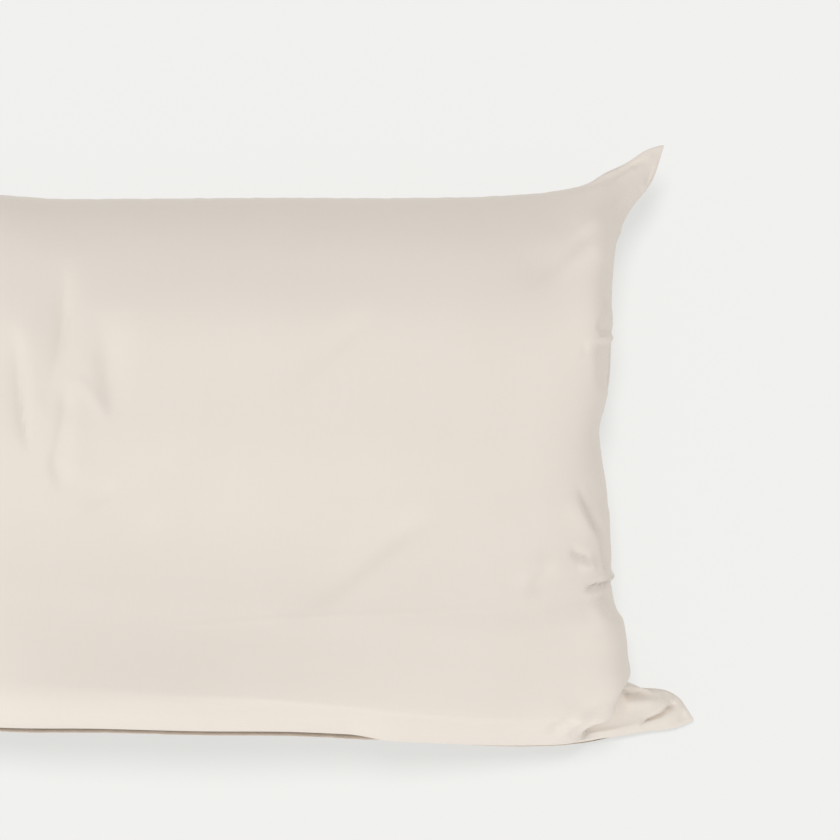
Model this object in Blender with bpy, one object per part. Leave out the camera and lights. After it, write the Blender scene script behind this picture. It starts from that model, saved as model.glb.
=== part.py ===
"""A filled pillowcase, 50 x 75 cm flat, lying on its back.

The case is one cloth bag: a front panel and a back panel, closed by a seam along both long
sides and the right end, and open at the left end, where the front turns in as a flap and the
back ends in a hem. Filled, it is one solid: a crowned front, a back that is flat where it
rests, sides that draw in between the corners, and four thin ears. The lower right ear lies
low, with the front bulging out over its root.

Metres, +Z up. +X runs along the case to its closed end and +Y across it to its upper edge.
The origin is under the middle of the case, on the surface that it lies on.
"""

from collections import namedtuple

import bmesh
import bpy
import numpy as np

# The grid that both panels share, as cells along and across the cloth.
CELLS_ALONG = 70
CELLS_ACROSS = 42

# The filling's crown, above and below the surface through the seams. It falls to each seam as
# a superellipse of the power given for that side. Along the lower side the power changes from
# its first to its second value between two places on the X axis.
FRONT_CROWN = 0.091
BACK_CROWN = 0.112
OPEN_END_FULLNESS = 3.0
CLOSED_END_FULLNESS = 4.6
UPPER_FULLNESS = 2.45
LOWER_FULLNESS = (5.0, 2.8)
LOWER_TURN = (0.05, 0.25)
HALF_LENGTH, HALF_WIDTH = 0.31, 0.22  # of the filled case, for the cloth's run over its crown
ARC_STEPS = 4000
FLOOR_SOFTNESS = 0.012  # height over which the back eases onto the floor
RESTING_HEIGHT = 1e-7  # cells lower than this lie on the floor
EDGE_CLING = 6  # power: the higher, the nearer to a seam the cloth still runs as it was cut
SEAM_MARGIN = 0.083  # share of the cloth next to a seam over which its swells die away
FOLD_MARGIN = 0.03  # and its folds
SEAM_THICKNESS = 0.0018

# Along the lower seam the front sits back, and the back stands out below it as a lip. From
# the end given on the X axis on, there is only a share of it.
LIP_INSET = 0.007
LIP_RUN = 0.008  # cloth over which the front draws back from the seam
LIP_REACH = (0.06, 0.13)  # cloth between which the front comes out again
LIP_END, LIP_FADE, LIP_BEYOND = 0.080, 0.040, 0.45
SIDE_RUN = 0.29  # cloth from the case's middle over the crown to its side seam

# The mouth at the left end: a slit between the front's turned edge and the back's hem, which
# closes towards the side seams with the given power.
MOUTH_DEPTH = 0.011
MOUTH_GAP = 0.0034
MOUTH_CLOSING = 4

CLOTH_COLOUR = (0.80, 0.745, 0.675, 1.0)
CLOTH_ROUGHNESS = 0.85

# Seams of the filled case, each from one ear's tip to another's.
SeamPoint = namedtuple("SeamPoint", "x y z")
TOP_SEAM = (
    SeamPoint(-0.350, 0.240, 0.086),
    SeamPoint(-0.331, 0.2305, 0.081),
    SeamPoint(-0.304, 0.215, 0.074),
    SeamPoint(-0.268, 0.2047, 0.068),
    SeamPoint(-0.205, 0.2035, 0.064),
    SeamPoint(-0.160, 0.2003, 0.063),
    SeamPoint(-0.100, 0.2002, 0.062),
    SeamPoint(0.020, 0.2010, 0.062),
    SeamPoint(0.130, 0.2008, 0.0635),
    SeamPoint(0.205, 0.2025, 0.0665),
    SeamPoint(0.250, 0.2065, 0.071),
    SeamPoint(0.277, 0.2135, 0.0765),
    SeamPoint(0.287, 0.2195, 0.079),
    SeamPoint(0.305, 0.2278, 0.082),
    SeamPoint(0.3225, 0.2385, 0.083),
    SeamPoint(0.3345, 0.2423, 0.080),
)
RIGHT_SEAM = (
    SeamPoint(0.3627, -0.2253, 0.006),
    SeamPoint(0.3568, -0.2160, 0.008),
    SeamPoint(0.3512, -0.2082, 0.009),
    SeamPoint(0.3435, -0.2033, 0.010),
    SeamPoint(0.320, -0.1995, 0.014),
    SeamPoint(0.2975, -0.186, 0.023),
    SeamPoint(0.2885, -0.158, 0.040),
    SeamPoint(0.2922, -0.138, 0.046),
    SeamPoint(0.2934, -0.127, 0.049),
    SeamPoint(0.2914, -0.118, 0.051),
    SeamPoint(0.2906, -0.111, 0.052),
    SeamPoint(0.2922, -0.103, 0.053),
    SeamPoint(0.2920, -0.064, 0.058),
    SeamPoint(0.2895, -0.034, 0.061),
    SeamPoint(0.2850, -0.008, 0.062),
    SeamPoint(0.2843, 0.014, 0.063),
    SeamPoint(0.2878, 0.034, 0.0635),
    SeamPoint(0.2908, 0.047, 0.064),
    SeamPoint(0.2930, 0.085, 0.067),
    SeamPoint(0.2940, 0.135, 0.071),
    SeamPoint(0.2978, 0.167, 0.075),
    SeamPoint(0.3080, 0.1905, 0.079),
    SeamPoint(0.3240, 0.212, 0.082),
    SeamPoint(0.3345, 0.2423, 0.080),
)
BOTTOM_SEAM = (
    SeamPoint(-0.358, -0.236, 0.040),
    SeamPoint(-0.335, -0.2315, 0.045),
    SeamPoint(-0.300, -0.228, 0.051),
    SeamPoint(-0.250, -0.2298, 0.056),
    SeamPoint(-0.2005, -0.2331, 0.058),
    SeamPoint(-0.120, -0.2337, 0.058),
    SeamPoint(-0.0385, -0.2357, 0.057),
    SeamPoint(0.040, -0.2367, 0.055),
    SeamPoint(0.099, -0.2400, 0.051),
    SeamPoint(0.156, -0.2435, 0.045),
    SeamPoint(0.2205, -0.2469, 0.035),
    SeamPoint(0.262, -0.2467, 0.026),
    SeamPoint(0.2935, -0.2424, 0.018),
    SeamPoint(0.326, -0.2354, 0.011),
    SeamPoint(0.3485, -0.2311, 0.008),
    SeamPoint(0.3627, -0.2253, 0.006),
)
LEFT_SEAM = (
    SeamPoint(-0.358, -0.236, 0.040),
    SeamPoint(-0.3495, -0.214, 0.046),
    SeamPoint(-0.333, -0.190, 0.052),
    SeamPoint(-0.317, -0.157, 0.057),
    SeamPoint(-0.306, -0.110, 0.060),
    SeamPoint(-0.300, -0.045, 0.061),
    SeamPoint(-0.298, 0.025, 0.062),
    SeamPoint(-0.301, 0.095, 0.064),
    SeamPoint(-0.3085, 0.150, 0.068),
    SeamPoint(-0.320, 0.185, 0.073),
    SeamPoint(-0.336, 0.213, 0.079),
    SeamPoint(-0.350, 0.240, 0.086),
)

# The ears: how far from its tip each stays thin.
Ear = namedtuple("Ear", "x y reach")
EARS = (
    Ear(-0.350, 0.240, 0.092),
    Ear(0.3345, 0.2423, 0.098),
    Ear(-0.358, -0.236, 0.090),
)
LOW_EAR = Ear(0.3627, -0.2253, 0.060)

# The lower right ear is flat up to a round crease, about a centre past its tip, which spreads
# out by a little towards the lower seam. Outside the crease the front stands up at once. There
# a band of it bulges out over the ear, and the band inside that is tucked in under the bulge.
# Both die away before they reach the lower seam. Angles are in degrees up from the line that
# runs from the centre towards the open end.
CREASE_CENTRE = (0.402, -0.262)
CREASE_START, CREASE_END = 0.100, 0.142
CREASE_SPREAD = 0.012
SPREAD_ANGLES = (10.0, 24.0)
LOW_EAR_FULLNESS = 0.035
Band = namedtuple("Band", "distance half_width shift angle_from angle_to")
BANDS = (
    Band(0.108, 0.014, 0.012, 6.0, 44.0),
    Band(0.149, 0.026, -0.0260, 6.0, 49.0),
    Band(0.150, 0.030, -0.0265, 35.0, 75.0),
)
BAND_FADE = 14.0  # degrees over which a band dies away

# Folds of the front, as soft troughs (depth below 0) and ridges. Each runs from one end to
# the other and may widen on the way. A lean above 0 makes its left-hand flank the steeper one.
Fold = namedtuple("Fold", "x0 y0 width0 x1 y1 width1 depth lean")
FOLDS = (
    # Upright folds left of the middle, in the shape of two narrow letters V.
    Fold(-0.146, 0.164, 0.022, -0.149, 0.056, 0.007, -0.0065, -0.3),
    Fold(-0.183, 0.104, 0.009, -0.168, -0.006, 0.009, -0.0042, -0.4),
    Fold(-0.164, 0.112, 0.010, -0.156, -0.006, 0.010, 0.0035, 0.0),
    Fold(-0.143, 0.054, 0.008, -0.148, -0.042, 0.009, -0.0040, -0.3),
    Fold(-0.118, 0.100, 0.013, -0.097, 0.010, 0.009, -0.0046, -0.3),
    Fold(-0.132, 0.084, 0.010, -0.111, 0.022, 0.010, 0.0030, 0.0),
    Fold(-0.096, -0.016, 0.009, -0.138, -0.054, 0.010, -0.0022, 0.0),
    # The long soft pulls that slant across the face.
    Fold(0.112, 0.108, 0.010, 0.030, 0.030, 0.012, -0.0022, 0.0),
    Fold(-0.016, 0.006, 0.011, -0.092, -0.082, 0.013, 0.0020, 0.0),
    Fold(0.152, -0.042, 0.010, 0.042, -0.126, 0.012, 0.0022, 0.0),
    Fold(0.284, 0.179, 0.010, 0.214, 0.122, 0.015, -0.0032, 0.0),
    # The closed end, from the top: a creased hollow, then a long crease that ends in a tuck.
    Fold(0.292, 0.121, 0.006, 0.279, 0.090, 0.008, -0.0040, 0.0),
    Fold(0.266, 0.086, 0.006, 0.298, 0.087, 0.006, 0.0026, 0.0),
    Fold(0.287, 0.086, 0.010, 0.290, 0.040, 0.008, -0.0032, 0.0),
    Fold(0.262, -0.026, 0.008, 0.290, -0.098, 0.006, -0.0056, -0.4),
    Fold(0.255, -0.078, 0.006, 0.279, -0.090, 0.006, -0.0034, 0.0),
    Fold(0.262, -0.116, 0.006, 0.302, -0.105, 0.006, -0.0056, 0.4),
    Fold(0.282, -0.114, 0.007, 0.302, -0.146, 0.009, -0.0046, -0.3),
    # Two slanting folds where the front bulges over the lower right ear.
    Fold(0.243, -0.235, 0.006, 0.292, -0.199, 0.008, -0.0036, 0.0),
    Fold(0.252, -0.236, 0.007, 0.294, -0.201, 0.008, 0.0026, 0.0),
    # The slit down the lower right ear.
    Fold(0.351, -0.212, 0.005, 0.318, -0.231, 0.006, -0.0036, 0.4),
    # Pleats that run from the other corners into the front.
    Fold(0.322, 0.224, 0.014, 0.225, 0.140, 0.040, 0.0016, 0.0),
    Fold(-0.330, 0.210, 0.008, -0.258, 0.158, 0.014, -0.0032, 0.0),
    Fold(-0.334, -0.210, 0.008, -0.258, -0.160, 0.014, -0.0032, 0.0),
)
FOLD_FADE = 0.28  # share of a fold's length over which each of its ends dies away

# Broad swells of the filling under the front.
Swell = namedtuple("Swell", "x y across_x across_y height")
SWELLS = (
    Swell(0.000, 0.105, 0.320, 0.042, 0.008),
    Swell(-0.050, -0.075, 0.260, 0.075, -0.017),
    Swell(-0.050, -0.225, 0.260, 0.050, 0.018),
    Swell(0.262, 0.125, 0.028, 0.055, 0.004),
)

# Where the front is folded, and beside the lower seam, the grid's lines stand closer together.
Crowding = namedtuple("Crowding", "at width strength")
COLUMN_CROWDING = (
    Crowding(-0.38, 0.13, 1.5),
    Crowding(0.84, 0.14, 1.3),
)
ROW_CROWDING = (
    Crowding(-1.0, 0.05, 4.0),
)


def clear_scene():
    """Empties the scene that the script starts in."""
    for old in list(bpy.data.objects):
        bpy.data.objects.remove(old, do_unlink=True)


def bell(distance, width):
    """1 at distance 0, falling smoothly to 0 well past the width."""
    return np.exp(-((distance / width) ** 2))


def smooth_step(value):
    """0 below 0, 1 above 1, and an S between them."""
    value = np.clip(value, 0.0, 1.0)
    return value * value * (3.0 - 2.0 * value)


def curve_through(rows, share):
    """The smooth curve through a seam's points, at shares 0 to 1 of its length."""
    points = np.array(rows, float)
    steps = np.linalg.norm(np.diff(points, axis=0), axis=1)
    knots = np.concatenate(([0.0], np.cumsum(steps))) / steps.sum()
    slopes = np.gradient(points, knots, axis=0)
    index = np.clip(np.searchsorted(knots, share, side="right") - 1, 0, len(knots) - 2)
    span = (knots[index + 1] - knots[index])[..., None]
    t = (share - knots[index])[..., None] / span
    return (
        (2 * t**3 - 3 * t**2 + 1) * points[index]
        + (t**3 - 2 * t**2 + t) * span * slopes[index]
        + (3 * t**2 - 2 * t**3) * points[index + 1]
        + (t**3 - t**2) * span * slopes[index + 1]
    )


def lines(cells, crowding):
    """Grid lines from -1 to 1, closer together where they are crowded."""
    fine = np.linspace(-1.0, 1.0, 20 * cells)
    density = np.ones_like(fine)
    for row in crowding:
        density += row.strength * bell(fine - row.at, row.width)
    along = np.concatenate(([0.0], np.cumsum(0.5 * (density[1:] + density[:-1]))))
    return np.interp(np.linspace(0.0, along[-1], cells + 1), along, fine)


def drawn_to_seam(own, other, powers, half_size):
    """A cloth coordinate as it lies in plan.

    The cloth runs over the crown and down its side, so equal steps along it are shorter in plan
    the nearer they are to a seam. Along the seams of the other direction it stays flat. The
    powers are the crown's below and above 0.
    """
    turn = np.pi / 4 * (1.0 - np.cos(np.linspace(0.0, np.pi, ARC_STEPS + 1)))
    laid = own.copy()
    for power, part in zip(powers, (own < 0, own >= 0)):
        reach = np.sin(turn) ** (2.0 / power)
        height = np.cos(turn) ** (2.0 / power)
        steps = np.hypot(np.diff(reach) * half_size, np.diff(height) * FRONT_CROWN)
        arc = np.concatenate(([0.0], np.cumsum(steps))) / steps.sum()
        laid[part] = (np.sign(own) * np.interp(np.abs(own), arc, reach))[part]
    free = 1.0 - np.abs(other) ** EDGE_CLING
    return own + free * (laid - own)


def seam_surface(u, v):
    """The surface that the four seams span, as a Coons patch."""
    a = ((1.0 + u) / 2)[..., None]
    b = ((1.0 + v) / 2)[..., None]
    left = curve_through(LEFT_SEAM, b[..., 0])
    right = curve_through(RIGHT_SEAM, b[..., 0])
    bottom = curve_through(BOTTOM_SEAM, a[..., 0])
    top = curve_through(TOP_SEAM, a[..., 0])
    corners = (1 - b) * ((1 - a) * bottom[0, 0] + a * bottom[-1, 0]) + b * (
        (1 - a) * top[0, -1] + a * top[-1, -1]
    )
    return (1 - a) * left + a * right + (1 - b) * bottom + b * top - corners


def from_crease(plan):
    """Unit vectors, distances and angles of some points from the centre of the low ear's crease."""
    away = plan[..., :2] - np.array(CREASE_CENTRE)
    distance = np.linalg.norm(away, axis=-1)
    angle = np.degrees(np.arctan2(away[..., 1], -away[..., 0]))
    low, high = SPREAD_ANGLES
    spread = CREASE_SPREAD * smooth_step((high - angle) / (high - low))
    return away / distance[..., None], distance - spread, angle


def fullness(u, v, plan):
    """How much of the crown stands at each point: 0 on the seams and next to nothing in the ears."""
    ends = np.where(u > 0, CLOSED_END_FULLNESS, OPEN_END_FULLNESS)
    turned = smooth_step((plan[..., 0] - LOWER_TURN[0]) / (LOWER_TURN[1] - LOWER_TURN[0]))
    lower = LOWER_FULLNESS[0] + (LOWER_FULLNESS[1] - LOWER_FULLNESS[0]) * turned
    sides = np.where(v > 0, UPPER_FULLNESS, lower)
    full = (1.0 - np.abs(u) ** ends) ** (1.0 / ends) * (1.0 - np.abs(v) ** sides) ** (1.0 / sides)
    for ear in EARS:
        distance = np.hypot(plan[..., 0] - ear.x, plan[..., 1] - ear.y)
        full *= 1.0 - bell(distance, ear.reach)
    distance = from_crease(plan)[1]
    rise = smooth_step((distance - CREASE_START) / (CREASE_END - CREASE_START))
    return full * (LOW_EAR_FULLNESS + (1.0 - LOW_EAR_FULLNESS) * rise)


def tuck_ear(points):
    """Moves the front's cloth round the low ear so that its bulge stands over the ear's root."""
    away, distance, angle = from_crease(points)
    shift = np.zeros_like(distance)
    for band in BANDS:
        reached = smooth_step((angle - band.angle_from) / BAND_FADE)
        reached *= smooth_step((band.angle_to - angle) / BAND_FADE)
        shift += band.shift * reached * bell(distance - band.distance, band.half_width)
    points[..., :2] += shift[..., None] * away
    return points


def fold_relief(plan):
    """Height of the folds at each point of the front."""
    relief = np.zeros(plan.shape[:-1])
    for fold in FOLDS:
        run = np.array([fold.x1 - fold.x0, fold.y1 - fold.y0])
        length = np.linalg.norm(run)
        run /= length
        offset = plan[..., :2] - np.array([fold.x0, fold.y0])
        along = np.clip((offset @ run) / length, 0.0, 1.0)
        aside = offset[..., 1] * run[0] - offset[..., 0] * run[1]
        width = fold.width0 + (fold.width1 - fold.width0) * along
        width = width * (1.0 - fold.lean * np.tanh(aside / width))
        ends = smooth_step(along / FOLD_FADE) * smooth_step((1.0 - along) / FOLD_FADE)
        relief += fold.depth * bell(aside, width) * ends
    return relief


def swell_relief(plan):
    """Height of the broad swells at each point of the front."""
    relief = np.zeros(plan.shape[:-1])
    for swell in SWELLS:
        relief += (
            swell.height
            * bell(plan[..., 0] - swell.x, swell.across_x)
            * bell(plan[..., 1] - swell.y, swell.across_y)
        )
    return relief


def outward(points):
    """Unit normals of a grid of points, on the side that +Z is on in the middle."""
    normal = np.cross(np.gradient(points, axis=0), np.gradient(points, axis=1))
    return normal / np.maximum(np.linalg.norm(normal, axis=-1, keepdims=True), 1e-9)


def lip_inset(plan, v):
    """How far the front sits back from the lip along the lower seam."""
    run = (1.0 + v) * SIDE_RUN
    inset = smooth_step(run / LIP_RUN)
    inset *= 1.0 - smooth_step((run - LIP_REACH[0]) / (LIP_REACH[1] - LIP_REACH[0]))
    share = smooth_step((LIP_END + LIP_FADE - plan[..., 0]) / LIP_FADE)
    inset *= LIP_BEYOND + (1.0 - LIP_BEYOND) * share
    for ear in (*EARS, LOW_EAR):
        inset *= 1.0 - bell(np.hypot(plan[..., 0] - ear.x, plan[..., 1] - ear.y), ear.reach)
    return inset * LIP_INSET


def front_panel(u, v, seams, full):
    """The front's grid of points: its crown and swells, the tuck, the folds and the inset."""
    points = seams.copy()
    points[..., 2] += FRONT_CROWN * full
    tucked = tuck_ear(points.copy())
    edge = 1.0 - np.maximum(np.abs(u), np.abs(v))
    inside = smooth_step(edge / SEAM_MARGIN)[..., None]
    points = points + inside * (tucked - points)
    points[..., 2] += swell_relief(points) * inside[..., 0]
    relief = fold_relief(points) * smooth_step(edge / FOLD_MARGIN)
    points += outward(points) * relief[..., None]
    points[..., 1] += lip_inset(seams, v)
    points[..., 2] += SEAM_THICKNESS / 2
    return points


def back_panel(seams, full):
    """The back's grid of points, flat at height 0 where it rests."""
    points = seams.copy()
    height = points[..., 2] - SEAM_THICKNESS / 2 - BACK_CROWN * full
    eased = (height + FLOOR_SOFTNESS) ** 2 / (4 * FLOOR_SOFTNESS)
    eased = np.where(height < -FLOOR_SOFTNESS, 0.0, eased)
    points[..., 2] = np.where(height > FLOOR_SOFTNESS, height, eased)
    return points


def rim_loop(grid):
    """The points round a grid's edge, anticlockwise from the lower left corner."""
    return np.concatenate((grid[:-1, 0], grid[-1, :-1], grid[:0:-1, -1], grid[0, :0:-1]))


def open_mouth(front, back, v):
    """Parts the two panels along the left end, and returns how deep the slit runs at each row."""
    share = 1.0 - v[0] ** MOUTH_CLOSING
    front[0, :, 2] += share * (MOUTH_GAP - SEAM_THICKNESS) / 2
    back[0, :, 2] -= share * (MOUTH_GAP - SEAM_THICKNESS) / 2
    return share * MOUTH_DEPTH


def pillowcase_points():
    """(front grid, back grid, the loop of points between their rims), centred over the origin."""
    columns = lines(CELLS_ALONG, COLUMN_CROWDING)
    rows = lines(CELLS_ACROSS, ROW_CROWDING)
    cloth_u, cloth_v = np.meshgrid(columns, rows, indexing="ij")
    u = drawn_to_seam(cloth_u, cloth_v, (OPEN_END_FULLNESS, CLOSED_END_FULLNESS), HALF_LENGTH)
    v = drawn_to_seam(cloth_v, cloth_u, (sum(LOWER_FULLNESS) / 2, UPPER_FULLNESS), HALF_WIDTH)
    seams = seam_surface(u, v)
    full = fullness(u, v, seams)
    front = front_panel(cloth_u, cloth_v, seams, full)
    back = back_panel(seams, full)
    slit_depth = open_mouth(front, back, cloth_v)
    middle = (front + back) / 2
    middle[0, :, 0] += slit_depth
    loop = rim_loop(middle)
    everything = np.concatenate((front.reshape(-1, 3), back.reshape(-1, 3)))
    centre = (everything.min(axis=0) + everything.max(axis=0)) / 2
    shift = np.array([centre[0], centre[1], everything[:, 2].min()])
    return front - shift, back - shift, loop - shift


def add_panel(mesh, grid, faces_up):
    """Adds a grid of points with its faces, and returns its vertices in the grid's shape."""
    vertices = np.array([[mesh.verts.new(point) for point in column] for column in grid])
    for i in range(grid.shape[0] - 1):
        for j in range(grid.shape[1] - 1):
            cell = [vertices[i, j], vertices[i + 1, j], vertices[i + 1, j + 1], vertices[i, j + 1]]
            mesh.faces.new(cell if faces_up else cell[::-1])
    return vertices


def join_rims(mesh, upper, lower):
    """Closes the band between two loops of vertices of the same length."""
    for k in range(len(upper)):
        following = (k + 1) % len(upper)
        mesh.faces.new([upper[k], lower[k], lower[following], upper[following]])


def merge_resting_face(mesh):
    """Makes the cells that lie on the floor one large flat face."""
    resting = [f for f in mesh.faces if all(vert.co.z < RESTING_HEIGHT for vert in f.verts)]
    bmesh.ops.dissolve_faces(mesh, faces=resting, use_verts=True)


def pillowcase_mesh():
    """The closed mesh of the filled case."""
    front, back, loop = pillowcase_points()
    mesh = bmesh.new()
    front_vertices = rim_loop(add_panel(mesh, front, True))
    back_vertices = rim_loop(add_panel(mesh, back, False))
    loop_vertices = [mesh.verts.new(point) for point in loop]
    join_rims(mesh, front_vertices, loop_vertices)
    join_rims(mesh, loop_vertices, back_vertices)
    merge_resting_face(mesh)
    bmesh.ops.triangulate(mesh, faces=mesh.faces[:])
    data = bpy.data.meshes.new("pillowcase")
    mesh.to_mesh(data)
    mesh.free()
    data.shade_smooth()
    return data


def cloth_material():
    """Plain woven cotton in a warm off-white."""
    material = bpy.data.materials.new("cotton_cloth")
    material.use_nodes = True
    shader = material.node_tree.nodes["Principled BSDF"]
    shader.inputs["Base Color"].default_value = CLOTH_COLOUR
    shader.inputs["Roughness"].default_value = CLOTH_ROUGHNESS
    shader.inputs["Metallic"].default_value = 0.0
    return material


def main():
    """Builds the one piece of this part."""
    clear_scene()
    case = bpy.data.objects.new("pillowcase", pillowcase_mesh())
    case.data.materials.append(cloth_material())
    bpy.context.scene.collection.objects.link(case)


main()
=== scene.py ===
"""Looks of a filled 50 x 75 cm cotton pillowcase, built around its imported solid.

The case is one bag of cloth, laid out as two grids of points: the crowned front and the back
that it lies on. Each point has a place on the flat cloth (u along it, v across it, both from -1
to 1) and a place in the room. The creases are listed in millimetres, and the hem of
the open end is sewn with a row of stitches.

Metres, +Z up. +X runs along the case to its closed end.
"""

import logging
import math
from dataclasses import dataclass, field
from enum import Enum
from typing import Any, NamedTuple

import bmesh
import bpy
import numpy as np
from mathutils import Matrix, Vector


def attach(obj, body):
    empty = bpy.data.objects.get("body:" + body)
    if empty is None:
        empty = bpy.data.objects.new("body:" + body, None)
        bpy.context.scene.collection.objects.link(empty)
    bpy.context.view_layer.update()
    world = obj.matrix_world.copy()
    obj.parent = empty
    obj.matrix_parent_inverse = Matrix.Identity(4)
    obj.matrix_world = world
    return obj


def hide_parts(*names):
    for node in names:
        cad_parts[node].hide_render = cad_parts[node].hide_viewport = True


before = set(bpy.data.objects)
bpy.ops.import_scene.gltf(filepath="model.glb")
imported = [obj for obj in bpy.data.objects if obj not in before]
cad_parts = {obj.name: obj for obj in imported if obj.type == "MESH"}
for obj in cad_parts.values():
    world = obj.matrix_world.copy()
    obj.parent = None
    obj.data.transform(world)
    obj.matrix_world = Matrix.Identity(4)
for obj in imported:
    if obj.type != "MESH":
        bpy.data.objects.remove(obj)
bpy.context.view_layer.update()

LOG = logging.getLogger("pillowcase")
MM = 0.001
CASE_NODE = "pillowcase"
CLOTH_PLACE = "cloth_place"
BACK_PLACE = (0.0, 0.0, 1.0)
NO_LENGTH = 1e-12


# ---------------------------------------------------------------- curves and falls

def bell(distance: np.ndarray, width: Any) -> np.ndarray:
    """1 at distance 0, falling smoothly to 0 well past the width."""
    return np.exp(-((distance / width) ** 2))


def smooth_step(value: Any) -> Any:
    """0 below 0, 1 above 1, and an S between them."""
    value = np.clip(value, 0.0, 1.0)
    return value * value * (3.0 - 2.0 * value)


def curve_through(rows: Any, share: np.ndarray) -> np.ndarray:
    """Reads the smooth curve through some points.

    Args:
        rows: the points, in order.
        share: how far along the curve to read it, from 0 to 1, in any shape.

    Returns:
        The curve's points, in the shape of share with the coordinates last.
    """
    points = np.array(rows, float)
    steps = np.linalg.norm(np.diff(points, axis=0), axis=1)
    knots = np.concatenate(([0.0], np.cumsum(steps))) / steps.sum()
    slopes = np.gradient(points, knots, axis=0)
    index = np.clip(np.searchsorted(knots, share, side="right") - 1, 0, len(knots) - 2)
    span = (knots[index + 1] - knots[index])[..., None]
    t = (share - knots[index])[..., None] / span
    return (
        (2 * t**3 - 3 * t**2 + 1) * points[index]
        + (t**3 - 2 * t**2 + t) * span * slopes[index]
        + (3 * t**2 - 2 * t**3) * points[index + 1]
        + (t**3 - t**2) * span * slopes[index + 1]
    )


def read_between(at: float, places: np.ndarray, rows: np.ndarray) -> np.ndarray:
    """Reads a row of points or vectors between the places that they stand at."""
    return np.array([np.interp(at, places, rows[:, k]) for k in range(3)])


def unit(vectors: np.ndarray) -> np.ndarray:
    """Vectors brought to a length of 1."""
    return vectors / np.maximum(np.linalg.norm(vectors, axis=-1, keepdims=True), NO_LENGTH)


def normals_of(grid: np.ndarray) -> np.ndarray:
    """Unit normals of a grid of points, on the side that +Z is on in the middle."""
    return unit(np.cross(np.gradient(grid, axis=0), np.gradient(grid, axis=1)))


def add_object(name: str, data: Any) -> bpy.types.Object:
    """Adds an object to the scene.

    Args:
        name: its name.
        data: its mesh, camera or light.

    Returns:
        The object.
    """
    made = bpy.data.objects.new(name, data)
    bpy.context.scene.collection.objects.link(made)
    return made


def add_smooth_mesh(name: str, mesh: Any) -> bpy.types.Object:
    """Turns a finished mesh into an object with smooth shading.

    Args:
        name: its name.
        mesh: the bmesh, which is freed.

    Returns:
        The object.
    """
    data = bpy.data.meshes.new(name)
    mesh.to_mesh(data)
    mesh.free()
    data.shade_smooth()
    return add_object(name, data)


# ---------------------------------------------------------------- the case's own sizes

def table(kind: Any, *rows: tuple[float, ...]) -> tuple[Any, ...]:
    """Makes each row of numbers into a named tuple of one kind."""
    return tuple(kind(*row) for row in rows)


class SeamPoint(NamedTuple):
    """A point of a seam, in metres, before the case is centred."""

    x: float
    y: float
    z: float


TOP_SEAM = table(
    SeamPoint,
    (-0.350, 0.240, 0.086), (-0.331, 0.2305, 0.081), (-0.304, 0.215, 0.074), (-0.268, 0.2047, 0.068),
    (-0.205, 0.2035, 0.064), (-0.160, 0.2003, 0.063), (-0.100, 0.2002, 0.062), (0.020, 0.2010, 0.062),
    (0.130, 0.2008, 0.0635), (0.205, 0.2025, 0.0665), (0.250, 0.2065, 0.071), (0.277, 0.2135, 0.0765),
    (0.287, 0.2195, 0.079), (0.305, 0.2278, 0.082), (0.3225, 0.2385, 0.083), (0.3345, 0.2423, 0.080),
)
RIGHT_SEAM = table(
    SeamPoint,
    (0.3627, -0.2253, 0.006), (0.3568, -0.2160, 0.008), (0.3512, -0.2082, 0.009),
    (0.3435, -0.2033, 0.010), (0.3205, -0.2003, 0.014), (0.2990, -0.1985, 0.021),
    (0.2885, -0.158, 0.040), (0.2922, -0.138, 0.046), (0.2934, -0.127, 0.049), (0.2914, -0.118, 0.051),
    (0.2906, -0.111, 0.052), (0.2922, -0.103, 0.053), (0.2920, -0.064, 0.058), (0.2895, -0.034, 0.061),
    (0.2850, -0.008, 0.062), (0.2843, 0.014, 0.063), (0.2878, 0.034, 0.0635), (0.2908, 0.047, 0.064),
    (0.2930, 0.085, 0.067), (0.2940, 0.135, 0.071), (0.2978, 0.167, 0.075), (0.3080, 0.1905, 0.079),
    (0.3240, 0.212, 0.082), (0.3345, 0.2423, 0.080),
)
BOTTOM_SEAM = table(
    SeamPoint,
    (-0.358, -0.236, 0.040), (-0.335, -0.2315, 0.045), (-0.300, -0.228, 0.051),
    (-0.250, -0.2298, 0.056), (-0.2005, -0.2331, 0.058), (-0.120, -0.2337, 0.058),
    (-0.0385, -0.2357, 0.057), (0.040, -0.2367, 0.055), (0.099, -0.2400, 0.051),
    (0.156, -0.2435, 0.045), (0.2205, -0.2469, 0.035), (0.262, -0.2467, 0.026),
    (0.2935, -0.2424, 0.018), (0.326, -0.2354, 0.011), (0.3485, -0.2311, 0.008),
    (0.3627, -0.2253, 0.006),
)
LEFT_SEAM = table(
    SeamPoint,
    (-0.358, -0.236, 0.040), (-0.3495, -0.214, 0.046), (-0.333, -0.190, 0.052), (-0.317, -0.157, 0.057),
    (-0.306, -0.110, 0.060), (-0.300, -0.045, 0.061), (-0.298, 0.025, 0.062), (-0.301, 0.095, 0.064),
    (-0.3085, 0.150, 0.068), (-0.320, 0.185, 0.073), (-0.336, 0.213, 0.079), (-0.350, 0.240, 0.086),
)


class Ear(NamedTuple):
    """A corner of the case that the filling doesn't reach."""

    x: float
    y: float
    reach: float


EARS = (
    Ear(-0.350, 0.240, 0.092),
    Ear(0.3345, 0.2423, 0.098),
    Ear(-0.358, -0.236, 0.090),
)
LOW_EAR = Ear(0.3627, -0.2253, 0.060)


class Band(NamedTuple):
    """A ring of cloth round the low ear's crease centre that moves in or out."""

    distance: float
    half_width: float
    shift: float
    angle_from: float
    angle_to: float


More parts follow.
